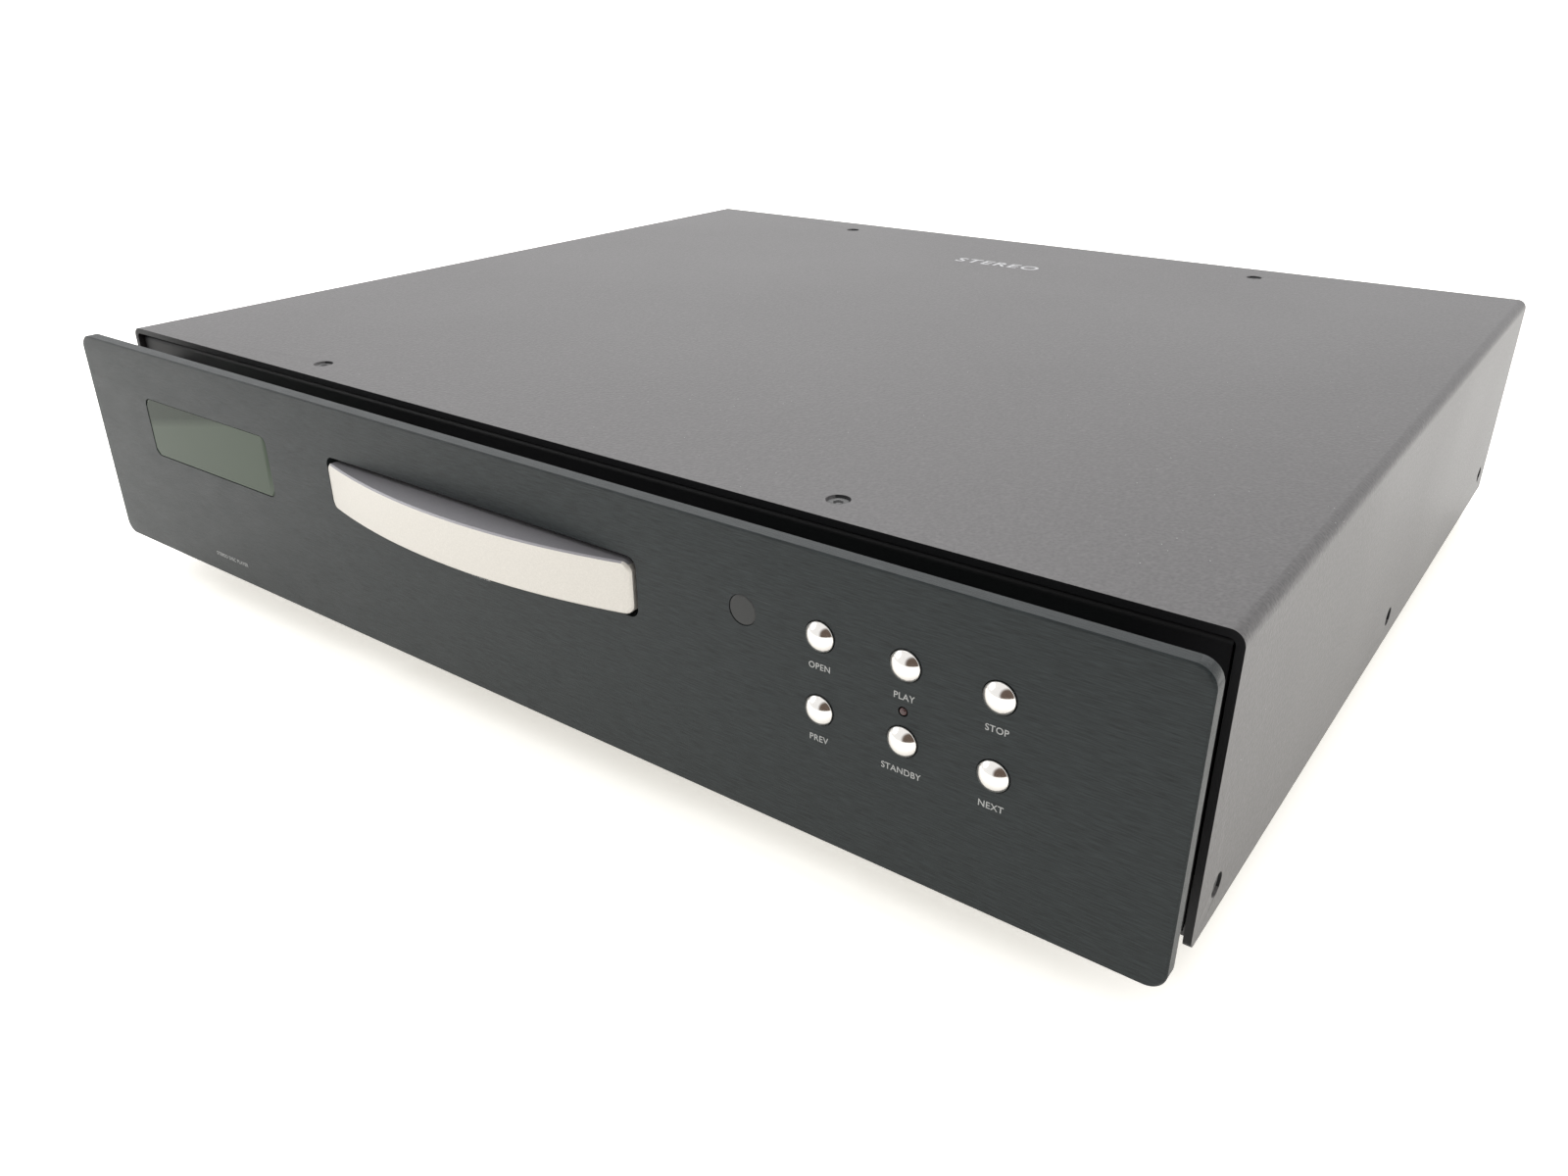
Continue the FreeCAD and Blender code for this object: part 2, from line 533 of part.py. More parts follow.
# curved grab bar on the front of the tray
bar = keep(newBody("tray_front", ("0", "panelFront", "0")))
chord = "trayFront - panelFront"
rise = "(grabBulge - grabProud)"
pad(bar, outline(bar, "XY_Plane", [[
    ("-grabHalf", chord), ("-grabHalf", "-grabProud", f"(grabHalf*grabHalf + {rise}*{rise}) / (2*{rise})"),
    ("grabHalf", "-grabProud"), ("grabHalf", chord)]], "grabLow"), "grabHigh - grabLow")
rounded(bar, "grabCorner", lambda edge: runs(edge, "y"))
bevelled(bar, "grabEdge", lambda edge: (
    edge.BoundBox.YMax < value(chord) - 0.5 and edge.BoundBox.YMin < -value("grabProud") + 0.05
    and edge.BoundBox.XLength > 0.5))

# loading gears: rack pinion, belt pulley and motor pulley
trayGear = keep(newBody("tray_gear", ("gearAcross", "gearRow", "0")))
toothRing(trayGear, "16", 32, "53", "56.5")
pad(trayGear, outline(trayGear, "XY_Plane", [("0", "0", "5")], "56.5"), "62.8 - 56.5")
toothRing(trayGear, "15", 30, "62.8", "66.4")
pocket(trayGear, outline(trayGear, "XY_Plane", [("0", "0", "2.05")], "67"), "20")
pulley = keep(newBody("pulley_gear", ("pulleyAcross", "gearRow", "0")))
toothRing(pulley, "6", 12, "53", "56.5", 15)
revolved(pulley, [[("0", "56.5"), ("4", "56.5"), ("4", "57.3"), ("12.8", "57.3"), ("12.8", "beltLow - 0.2"),
                   ("pulleyGroove", "beltLow - 0.2"), ("pulleyGroove", "beltHigh + 0.2"),
                   ("12.8", "beltHigh + 0.2"), ("12.8", "60.9"), ("0", "60.9")]])
pocket(pulley, outline(pulley, "XY_Plane", [("0", "0", "1.55")], "61"), "20")
small = keep(newBody("motor_pulley", ("motorAcross", "gearRow", "0")))
revolved(small, [[("1.05", "56"), ("4", "56"), ("4", "beltLow - 0.2"), ("motorGroove", "beltLow - 0.2"),
                  ("motorGroove", "beltHigh + 0.2"), ("4", "beltHigh + 0.2"), ("4", "60.9"),
                  ("1.05", "60.9")]])


def beltHull(name, extra):
    # everything inside a belt run: both wheels and the tangent strip between them
    big, tiny = f"(pulleyGroove + {extra})", f"(motorGroove + {extra})"
    gap = "(motorAcross - pulleyAcross)"
    lean = f"(({big} - {tiny}) / {gap})"
    flat = f"sqrt(1 - {lean} * {lean})"
    strip = newBody(name + "Strip", ("pulleyAcross", "gearRow", "0"))
    pad(strip, outline(strip, "XY_Plane", [[
        (f"{big} * {lean}", f"-{big} * {flat}"), (f"{gap} + {tiny} * {lean}", f"-{tiny} * {flat}"),
        (f"{gap} + {tiny} * {lean}", f"{tiny} * {flat}"), (f"{big} * {lean}", f"{big} * {flat}")]],
        "beltLow"), "beltHigh - beltLow")
    rounds = [rod(name + side, (across, "gearRow", "beltLow"), radius, "beltHigh - beltLow")
              for side, across, radius in (("Big", "pulleyAcross", big), ("Tiny", "motorAcross", tiny))]
    return fused(name, [strip, *rounds])


keep(less("drive_belt", beltHull("beltOuter", "beltSlack + beltThick"), [beltHull("beltInner", "beltSlack")]))
motor = rod("motorCan", ("motorAcross", "gearRow", "27"), "10.5", "deckLow - 27")
shaft = rod("motorShaft", ("motorAcross", "gearRow", "27"), "1", "61.6 - 27")
neck = rod("motorNeck", ("motorAcross", "gearRow", "deckLow - 1"), "3", "2.4")
keep(fused("loading_motor", [motor, shaft, neck]))

# loader chassis: deck, side walls, rails, gear posts and traverse brackets
deck = block("deck", ("-loaderHalf", "loaderHalf"), ("loaderFront", "loaderRear"), ("deckLow", "deckHigh"))
well = block("well", ("-37", "53"), ("-134", "13"), ("deckLow - 1", "deckHigh + 1"))
motorHole = rod("motorHole", ("motorAcross", "gearRow", "deckLow - 1"), "3.2", "4")
shell = [less("deckCut", deck, [well, motorHole])]
for side in ("-", ""):
    edge = (f"{side}loaderHalf", f"{side}(loaderHalf - loaderWall)")
    wall = edge if side else edge[::-1]
    rail = (f"{side}(loaderHalf - loaderWall + 0.1)", f"{side}railIn")
    rail = rail if side else rail[::-1]
    lip = (f"{side}(loaderHalf - loaderWall + 0.1)", f"{side}62.4")
    lip = lip if side else lip[::-1]
    span = ("loaderFront", "loaderRear")
    shell.append(block("wall" + ("Left" if side else "Right"), wall, span, ("deckLow", "wallHigh")))
    shell.append(block("rail" + ("Left" if side else "Right"), rail, span, ("59", "railHigh")))
    for index, front in enumerate(("-164", "-60", "10")):
        name = "lip" + ("Left" if side else "Right") + str(index)
        shell.append(block(name, lip, (front, f"{front} + 14"), ("trayTop + 0.4", "wallHigh")))
shell.append(block("camWeb", ("-20", "44"), ("-136", "-134"), ("33", "deckHigh")))
shell.append(block("camRail", ("-20", "44"), ("-134.5", "-131.1"), ("33", "camLow - 0.3")))
shell.append(rod("trayGearPost", ("gearAcross", "gearRow", "deckLow"), "2", "67.2 - deckLow"))
shell.append(rod("trayGearSeat", ("gearAcross", "gearRow", "deckHigh - 0.5"), "4", "1.2"))
shell.append(rod("pulleyPost", ("pulleyAcross", "gearRow", "deckLow"), "1.5", "61.6 - deckLow"))
shell.append(rod("pulleySeat", ("pulleyAcross", "gearRow", "deckHigh - 0.5"), "4", "1.2"))
for name, span in (("hingeLeft", ("-41", "-37.4")), ("hingeRight", ("53.4", "57"))):
    ear = block(name, span, ("swingRow - 5", "swingRow + 5"), ("deckHigh - 0.5", "swingUp + 5"))
    eye = rod(name + "Eye", (f"{span[0]} - 1", "swingRow", "swingUp"), "2.06", "6", "x")
    shell.append(less(name + "Cut", ear, [eye]))
loaderRaw = fused("loaderRaw", shell)
eyes = [rod(f"clearance{index}", (start, "swingRow", "swingUp"), "2.06", "6", "x")
        for index, start in enumerate(("-42", "52.4"))]
keep(less("loader_base", loaderRaw, eyes))
legs = [rod(f"leg{index}", (across, row, "panLow + panSheet"), "4", "deckLow - panLow - panSheet")
        for index, (across, row) in enumerate(
            [(across, row) for across in ("-61", "61") for row in ("-160", "22")])]
heads = [rod(f"head{index}", (across, row, "deckHigh"), "2.8", "1.6")
         for index, (across, row) in enumerate(
             [(across, row) for across in ("-61", "61") for row in ("-160", "22")])]
heads += [rod(f"boardHead{index}", (across, row, "pcbLow + pcbThick"), "2.8", "1.6")
          for index, (across, row) in enumerate(
              [("-54", "56"), ("199", "56"), ("-54", "174"), ("199", "174"),
               ("-199", "66"), ("-91", "66"), ("-199", "160"), ("-91", "160")])]
keep(several("inner_screws", heads))

# clamp bridge and clamper
bridge = newBody("clamp_bridge")
pad(bridge, outline(bridge, "XY_Plane", [rect("-loaderHalf", "loaderHalf", "bridgeFront", "bridgeRear"),
                                         ("0", "discRow", "8.6")], "wallHigh"), "bridgeSheet")
rounded(bridge, "3", lambda edge: runs(edge, "z"))
keep(bridge)
clamper = keep(newBody("clamper", ("0", "discRow", "0")))
revolved(clamper, [[("8.4", "72.4"), ("15.4", "72.4"), ("16", "73"), ("16", "76.2"), ("15.4", "76.8"),
                    ("8", "76.8"), ("8", "80.4"), ("10.5", "80.4"), ("10.5", "82"), ("0", "82"),
                    ("0", "74.4"), ("8.4", "74.4")]])

# traverse with the spindle, guide rods, sled and its gears
plate = block("plate", ("-33", "48"), ("-129", "8"), ("52", "54"))
opening = block("opening", ("-15", "15"), ("-101", "-38"), ("51", "55"))
spindleHole = rod("spindleHole", ("0", "discRow", "51"), "3", "4")
sledShaftHole = rod("sledShaftHole", ("sledGearAcross", "sledMotorRow", "51"), "1.8", "4")
frame = [less("plateCut", plate, [opening, spindleHole, sledShaftHole])]
frame.append(block("flange", ("pinAcross - 12", "pinAcross + 12"), ("-129", "-127"), ("46", "53")))
frame.append(rod("liftPin", ("pinAcross", "-133.6", "pinUp"), "pinRadius", "5.6", "y"))
for name, front in (("ForkFront", "-103.5"), ("ForkRear", "-38")):
    for side in ("-", ""):
        across = f"{side}rodAcross"
        frame.append(block(("left" if side else "right") + name, (f"{across} - 3.2", f"{across} + 3.2"),
                           (front, f"{front} + 3"), ("53", "60.4")))
frame.append(rod("stubLeft", ("-40.8", "swingRow", "swingUp"), "2", "12", "x"))
frame.append(rod("stubRight", ("44", "swingRow", "swingUp"), "2", "12.8", "x"))
frame.append(rod("sledGearPost", ("sledGearAcross", "sledGearRow", "53"), "1.5", "10.4"))
frame.append(rod("sledGearSeat", ("sledGearAcross", "sledGearRow", "53"), "3.5", "2.5"))
rodSeats = [rod(f"rodSeat{index}", (f"{side}rodAcross", "-103.6", "rodUp"), "rodRadius", "68.7", "y")
            for index, side in enumerate(("-", ""))]
keep(less("traverse_frame", fused("traverseRaw", frame), rodSeats))
keep(several("guide_rods", [rod(f"guideRod{index}", (f"{side}rodAcross", "-103.5", "rodUp"), "rodRadius",
                                "68.5", "y") for index, side in enumerate(("-", ""))]))
keep(fused("spindle_motor", [rod("spindleCan", ("0", "discRow", "41"), "12", "11"),
                             rod("spindleShaft", ("0", "discRow", "41"), "1", "29")]))
keep(fused("sled_motor", [rod("sledCan", ("sledGearAcross", "sledMotorRow", "39"), "8", "13"),
                          rod("sledShaft", ("sledGearAcross", "sledMotorRow", "39"), "1", "24.4")]))
turntable = keep(newBody("turntable", ("0", "discRow", "0")))
revolved(turntable, [[("1.05", "55"), ("4.5", "55"), ("5.5", "65"), ("15", "66"), ("15", "70.2"),
                      ("7.4", "70.2"), ("7.4", "71.4"), ("5.6", "73.6"), ("1.05", "73.6")]])
ring = keep(newBody("turntable_pad", ("0", "discRow", "0")))
revolved(ring, [[("10.5", "70.2"), ("14.6", "70.2"), ("14.6", "70.9"), ("10.5", "70.9")]])

sledBlock = block("sledBlock", ("-sledHalf", "sledHalf"), ("sledFront", "sledRear"), ("55.5", "59.9"))
tower = block("tower", ("-9", "9"), ("lensRow - 7.5", "lensRow + 8"), ("59.5", "64.5"))
rackBar = block("rackBar", ("sledHalf - 1", "sledRack - toothDeep"), ("sledFront", "sledRear"), ("55.8", "58.2"))
bores = [rod(f"bore{index}", (f"{side}rodAcross", "sledFront - 1", "rodUp"), "rodRadius + 0.05", "22", "y")
         for index, side in enumerate(("-", ""))]
sledTeeth = newBody("sledTeeth")
sledFirst = "sledGearRow - 12.5 * toothPitch"
rackStart = pad(sledTeeth, outline(sledTeeth, "XY_Plane", [[
    ("sledRack - toothDeep - 0.2", f"{sledFirst} - toothRoot"), ("sledRack", f"{sledFirst} - toothHalf"),
    ("sledRack + toothOut", f"{sledFirst} - toothTip"), ("sledRack + toothOut", f"{sledFirst} + toothTip"),
    ("sledRack", f"{sledFirst} + toothHalf"),
    ("sledRack - toothDeep - 0.2", f"{sledFirst} + toothRoot")]], "55.8"), "2.4")
sledBar = pad(sledTeeth, outline(sledTeeth, "XY_Plane", [rect(
    "sledHalf + 0.1", "sledRack - toothDeep", "-99", "-47")], "55.8"), "2.4")
repeated(sledTeeth, rackStart, "Y_Axis", 16, "toothPitch")
keep(less("pickup_sled", fused("sledRaw", [sledBlock, tower, rackBar, sledTeeth]), bores))
lens = keep(newBody("pickup_lens", ("0", "lensRow", "0")))
revolved(lens, [[("0", "64.5"), ("4.6", "64.5"), ("4.6", "65.4"), ("3.2", "65.4"), ("3.2", "66"),
                 ("2", "66.8"), ("0", "67")]])
sledGear = keep(newBody("sled_gear", ("sledGearAcross", "sledGearRow", "0")))
toothRing(sledGear, "8", 16, "55.8", "58.2")
pad(sledGear, outline(sledGear, "XY_Plane", [("0", "0", "4")], "58.2"), "60.6 - 58.2")
toothRing(sledGear, "10", 20, "60.6", "62.6")
pocket(sledGear, outline(sledGear, "XY_Plane", [("0", "0", "1.55")], "63"), "20")
pinion = keep(newBody("sled_pinion", ("sledGearAcross", "sledMotorRow", "0")))
toothRing(pinion, "5", 10, "60.6", "62.6")
pad(pinion, outline(pinion, "XY_Plane", [("0", "0", "2.4")], "55.5"), "5.1")
pocket(pinion, outline(pinion, "XY_Plane", [("0", "0", "1.05")], "63"), "20")

cam = keep(newBody("lift_cam", ("0", "camFront + camSheet", "0")))
climb = "pinDrop / camTravel * camEnd"
pad(cam, outline(cam, "XZ_Plane", [rect("camLeft", "camRight", "camLow", "camHigh"), [
    ("pinAcross - camTravel - camEnd", f"pinUp - pinDrop - {climb} - camHalf"),
    ("pinAcross + camEnd", f"pinUp + {climb} - camHalf"),
    ("pinAcross + camEnd", f"pinUp + {climb} + camHalf"),
    ("pinAcross - camTravel - camEnd", f"pinUp - pinDrop - {climb} + camHalf")]]), "camSheet")

# boards and power parts
keep(block("main_board", ("-60", "205"), ("50", "180"), ("pcbLow", "pcbLow + pcbThick")))
keep(block("power_board", ("-205", "-85"), ("60", "166"), ("pcbLow", "pcbLow + pcbThick")))
legs += [rod(f"peg{index}", (across, row, "panLow + panSheet"), "3", "pcbLow - panLow - panSheet")
        for index, (across, row) in enumerate(
            [("-54", "56"), ("199", "56"), ("-54", "174"), ("199", "174"),
             ("-199", "66"), ("-91", "66"), ("-199", "160"), ("-91", "160")])]
keep(several("chassis_posts", legs))
chips = []
pcbTop = "pcbLow + pcbThick"
for index, (across, row, wide, deep, high) in enumerate([
        (-20, 80, 18, 18, 2.4), (20, 110, 14, 20, 3), (20, 76, 12, 8, 3), (64, 96, 10, 18, 3),
        (66, 140, 8, 10, 4), (90, 140, 8, 10, 4), (120, 96, 12, 12, 5), (150, 110, 10, 14, 3),
        (176, 80, 14, 14, 6)]):
    chips.append(block(f"chip{index}", (f"{across} - {wide}/2", f"{across} + {wide}/2"),
                       (f"{row} - {deep}/2", f"{row} + {deep}/2"), (pcbTop, f"{pcbTop} + {high}")))
keep(several("board_chips", chips))
cans = []
for index, (across, row, radius, tall) in enumerate([
        (-186, 90, 10, 36), (-186, 116, 10, 36), (-186, 142, 8, 26), (-100, 124, 6, 20),
        (-100, 142, 6, 20), (100, 64, 5, 14), (114, 64, 5, 14), (140, 64, 6, 18), (160, 64, 6, 18)]):
    cans.append(rod(f"can{index}", (across, row, pcbTop), radius, tall))
keep(several("capacitors", cans))
fins = [block("sinkBase", ("-160", "-112"), ("84", "88"), (pcbTop, f"{pcbTop} + 34"))]
for index in range(8):
    left = f"-160 + {index} * 6.6"
    fins.append(block(f"fin{index}", (left, f"{left} + 1.6"), ("86", "102"), (pcbTop, f"{pcbTop} + 34")))
keep(fused("heat_sink", fins))
coil = keep(newBody("transformer", ("coilAcross", "coilRow", "0")))
revolved(coil, [[("coilInner", "coilLow"), ("coilOuter", "coilLow"), ("coilOuter", "coilHigh"),
                 ("coilInner", "coilHigh")]])
rounded(coil, "6", lambda edge: edge.BoundBox.XLength > 60)
clampPlate = newBody("clampPlate", ("coilAcross", "coilRow", "0"))
revolved(clampPlate, [[("0", "coilHigh - 6"), ("coilInner - 1", "coilHigh - 6"), ("coilInner - 0.5", "coilHigh"),
                       ("26", "coilHigh"), ("26", "coilHigh + 1.5"), ("coilInner - 2.5", "coilHigh + 1.5"),
                       ("coilInner - 3", "coilHigh - 4"), ("0", "coilHigh - 4")]])
coilBolt = rod("coilBolt", ("coilAcross", "coilRow", "panLow + panSheet"), "3", "coilHigh - panLow - 3")
coilNut = rod("coilNut", ("coilAcross", "coilRow", "coilHigh - 4"), "5.5", "3")
keep(fused("transformer_clamp", [clampPlate, coilBolt, coilNut]))
ribbon = keep(newBody("ribbon_cable"))
pad(ribbon, outline(ribbon, "YZ_Plane", [[
    ("26", "52"), ("44", "52"), ("62", pcbTop), ("62.8", pcbTop), ("44.4", "52.6"), ("26", "52.6")]]),
    "30", True)

# rear connectors
inletBody = block("inletBody", ("inletAcross - 13.4", "inletAcross + 13.4"), ("168", "rearFace + 0.1"),
                  ("socketUp - 9.8", "socketUp + 9.8"))
inletFlange = block("inletFlange", ("inletAcross - 20", "inletAcross + 20"), ("rearFace", "rearFace + 2.2"),
                    ("socketUp - 13", "socketUp + 13"))
inletWell = block("inletWell", ("inletAcross - 11.4", "inletAcross + 11.4"), ("172", "195"),
                  ("socketUp - 7.6", "socketUp + 7.6"))
keep(less("mains_inlet", fused("inletRaw", [inletBody, inletFlange]), [inletWell]))
keep(several("mains_pins", [
    block(f"blade{index}", (f"inletAcross + {across} - 1", f"inletAcross + {across} + 1"), ("172", "186"),
          (f"socketUp + {up} - 2", f"socketUp + {up} + 2"))
    for index, (across, up) in enumerate(((-7, -2), (0, 2), (7, -2)))]))
frameBody = block("frameBody", ("switchAcross - 8", "switchAcross + 8"), ("174", "rearFace + 0.1"),
                  ("socketUp - 11.5", "socketUp + 11.5"))
frameFlange = block("frameFlange", ("switchAcross - 10", "switchAcross + 10"),
                    ("rearFace", "rearFace + 1.6"), ("socketUp - 13.5", "socketUp + 13.5"))
frameWell = block("frameWell", ("switchAcross - 6.4", "switchAcross + 6.4"), ("178", "195"),
                  ("socketUp - 10.2", "socketUp + 10.2"))
framePivot = rod("framePivot", ("switchAcross - 7.4", "186.5", "socketUp"), "1.05", "14.8", "x")
keep(less("power_switch_frame", fused("frameRaw", [frameBody, frameFlange]), [frameWell, framePivot]))
rocker = newBody("rockerBody", ("switchAcross", "186.5", "socketUp"))
pad(rocker, outline(rocker, "YZ_Plane", [[
    ("-4", "-4"), ("3.5", "-8.8"), ("5.4", "-8.8"), ("3.9", "0"), ("5.4", "8.8"), ("3.5", "8.8"),
    ("-4", "4")]]), "12.2", True)
rockerPivot = rod("rockerPivot", ("switchAcross - 7.2", "186.5", "socketUp"), "1", "14.4", "x")
keep(fused("power_rocker", [rocker, rockerPivot]))

barrels, cores = [], []
for label, across in (("left", "jackLeft"), ("right", "jackRight"), ("digital", "jackDigital")):
    jack = newBody(label + "Jack", (across, "rearFace", "jackUp"), ((1, 0, 0), -90))
    revolved(jack, [[("jackBore", "-8"), ("jackRadius", "-8"), ("jackRadius", "0"), ("5.6", "0"),
                     ("5.6", "1.6"), ("jackRadius", "1.6"), ("jackRadius", "jackEnd - rearFace - 0.4"),
                     ("jackRadius - 0.4", "jackEnd - rearFace"), ("jackBore", "jackEnd - rearFace")]])
    barrels.append(jack)
    core = newBody(label + "Core", (across, "rearFace", "jackUp"), ((1, 0, 0), -90))
    revolved(core, [[("1.65", "-8"), ("jackBore", "-8"), ("jackBore", "jackEnd - rearFace - 0.3"),
                     ("1.65", "jackEnd - rearFace - 0.3")]])
    cores.append(core)
keep(several("rca_shells", barrels))
keep(several("rca_inserts", cores))
optical = block("opticalBody", ("opticalAcross - 4.9", "opticalAcross + 4.9"), ("178", "rearFace + 2.4"),
                ("jackUp - 4.9", "jackUp + 4.9"))
opticalWell = block("opticalWell", ("opticalAcross - 3.2", "opticalAcross + 3.2"), ("rearFace + 1.4", "rearFace + 3"),
                    ("jackUp - 3", "jackUp + 3"))
keep(less("optical_output", optical, [opticalWell]))
port = keep(newBody("control_port", ("portAcross", "rearFace", "jackUp"), ((1, 0, 0), -90)))
revolved(port, [[("1.8", "-10"), ("3.1", "-10"), ("3.1", "0"), ("4.6", "0"), ("4.6", "1.4"), ("1.8", "1.4")]])
for index, (across, up) in enumerate([("-204", "24"), ("204", "24"), ("-204", "82"), ("204", "82"),
                                      ("-60", "24"), ("60", "24")]):
    screws.append(crossScrew(f"backScrew{index}", (across, "rearFace", up)))
keep(several("case_screws", screws))

# every sub-part is checked and written to its own file
doc.recompute()
for item in doc.Objects:
    if "Invalid" in item.State or "Error" in item.State:
        raise RuntimeError(f"{item.Name} is {item.State}")
os.makedirs("parts", exist_ok=True)
for item in nodes:
    item.Label = item.Name
    if item.Shape.isNull() or not item.Shape.isValid() or item.Shape.Volume <= 0:
        raise RuntimeError(item.Name + " has no sound shape")
    item.Shape.exportStep(f"parts/{item.Label}.step")
print(len(nodes), "sub-parts written")
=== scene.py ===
import bmesh
import bpy
import json
import math
from mathutils import Matrix, Vector


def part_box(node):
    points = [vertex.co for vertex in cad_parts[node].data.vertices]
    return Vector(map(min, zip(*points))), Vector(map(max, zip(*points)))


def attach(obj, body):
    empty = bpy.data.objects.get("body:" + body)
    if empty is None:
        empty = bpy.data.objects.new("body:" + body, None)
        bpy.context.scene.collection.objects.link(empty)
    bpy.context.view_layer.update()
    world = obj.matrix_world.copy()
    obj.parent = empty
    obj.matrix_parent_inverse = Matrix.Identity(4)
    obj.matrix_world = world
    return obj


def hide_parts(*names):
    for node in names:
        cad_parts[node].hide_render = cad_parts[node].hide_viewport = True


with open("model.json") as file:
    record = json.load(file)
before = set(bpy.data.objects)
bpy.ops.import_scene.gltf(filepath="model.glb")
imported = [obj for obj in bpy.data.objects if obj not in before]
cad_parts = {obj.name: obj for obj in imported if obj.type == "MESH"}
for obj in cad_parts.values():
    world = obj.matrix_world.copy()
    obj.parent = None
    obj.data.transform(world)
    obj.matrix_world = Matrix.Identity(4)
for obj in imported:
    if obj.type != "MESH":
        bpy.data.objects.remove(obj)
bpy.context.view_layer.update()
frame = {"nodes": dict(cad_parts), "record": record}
nodes = frame["nodes"]
slotOf = {part["node"]: part["material_slot"] for part in frame["record"]["subparts"]}
bodyOf = {node: body for body, names in frame["record"]["behaviour"]["bodies"].items() for node in names}
mm = 0.001
print("frame loaded,", len(nodes), "nodes")

# camera and studio

view = {
    "place": (0.26678, -0.39620, 0.20751),
    "toward": (-0.5366, 0.7220, -0.4368),
    "roll": -0.004,
    "lens": 27.88,
    "sensor": 36.0,
}

studio = {
    "floorSize": 14.0,
    "floorColour": (0.93, 0.93, 0.925),
    "floorGlow": 0.58,
    "glowColour": (0.99, 0.955, 0.87),
    "skyColour": (1.0, 1.0, 1.0),
    "skyStrength": 1.2,
    "darkColour": (0.14, 0.105, 0.085),  # the dark room seen only in reflections, past the lens
    "darkToward": (0.58, -0.78, 0.22),
    "darkSpread": (0.72, 0.86),  # cosines where the dark patch starts and where it is full
    "lamps": {  # place, aimed at, size, watts
        "softTop": ((-0.5, 0.5, 1.6), (0, 0, 0.05), 1.6, 18),
        "softLeft": ((-1.5, -0.9, 0.9), (0, 0, 0.05), 1.1, 6),
    },
}


def addNode(tree, kind, links=None, **settings):
    node = tree.nodes.new("ShaderNode" + kind)
    for name, value in settings.items():
        setattr(node, name, value)
    for name, value in (links or {}).items():
        if isinstance(value, bpy.types.NodeSocket):
            tree.links.new(value, node.inputs[name])
        else:
            node.inputs[name].default_value = value
    return node


def tinted(tree, factor, dark, light):
    return addNode(tree, "Mix", {"Factor": factor, 6: dark, 7: light}, data_type="RGBA").outputs[2]


def addCamera():
    data = bpy.data.cameras.new("camera")
    data.sensor_width = view["sensor"]
    data.lens = view["lens"]
    data.clip_start = 0.01
    camera = bpy.data.objects.new("camera", data)
    bpy.context.scene.collection.objects.link(camera)
    turn = Vector(view["toward"]).to_track_quat("-Z", "Y").to_matrix().to_4x4()
    roll = Matrix.Rotation(view["roll"], 4, "Z")
    camera.matrix_world = Matrix.Translation(view["place"]) @ turn @ roll
    bpy.context.scene.camera = camera


def addLamp(name, place, aim, size, watts):
    data = bpy.data.lights.new(name, "AREA")
    data.shape = "DISK"
    data.size = size
    data.energy = watts
    lamp = bpy.data.objects.new(name, data)
    lamp.location = place
    lamp.rotation_euler = (Vector(aim) - Vector(place)).to_track_quat("-Z", "Y").to_euler()
    bpy.context.scene.collection.objects.link(lamp)


def addStudio():
    world = bpy.data.worlds.new("studio")
    world.use_nodes = True
    tree = world.node_tree
    back = tree.nodes["Background"]
    ray = tree.nodes.new("ShaderNodeNewGeometry").outputs["Incoming"]
    away = tuple(-step for step in Vector(studio["darkToward"]).normalized())
    facing = addNode(tree, "VectorMath", {0: ray, 1: away}, operation="DOT_PRODUCT")
    start, full = studio["darkSpread"]
    patch = addNode(tree, "MapRange", {"Value": facing.outputs["Value"], "From Min": start,
                                       "From Max": full})
    fromCamera = tree.nodes.new("ShaderNodeLightPath").outputs["Is Camera Ray"]
    unseen = addNode(tree, "Math", {0: 1.0, 1: fromCamera}, operation="SUBTRACT")
    amount = addNode(tree, "Math", {0: patch.outputs["Result"], 1: unseen.outputs[0]}, operation="MULTIPLY")
    colour = tinted(tree, amount.outputs[0], (*studio["skyColour"], 1), (*studio["darkColour"], 1))
    tree.links.new(colour, back.inputs["Color"])
    back.inputs["Strength"].default_value = studio["skyStrength"]
    bpy.context.scene.world = world
    bpy.context.scene.view_settings.view_transform = "Standard"
    for name, values in studio["lamps"].items():
        addLamp(name, *values)


addCamera()
addStudio()
print("camera and lamps set")

# shader groups


def newGroup(name, inputs, outputs):
    group = bpy.data.node_groups.new(name, "ShaderNodeTree")
    for label, kind, start in inputs:
        socket = group.interface.new_socket(label, in_out="INPUT", socket_type="NodeSocket" + kind)
        socket.default_value = start
    for label, kind in outputs:
        group.interface.new_socket(label, in_out="OUTPUT", socket_type="NodeSocket" + kind)
    return group, group.nodes.new("NodeGroupInput"), group.nodes.new("NodeGroupOutput")


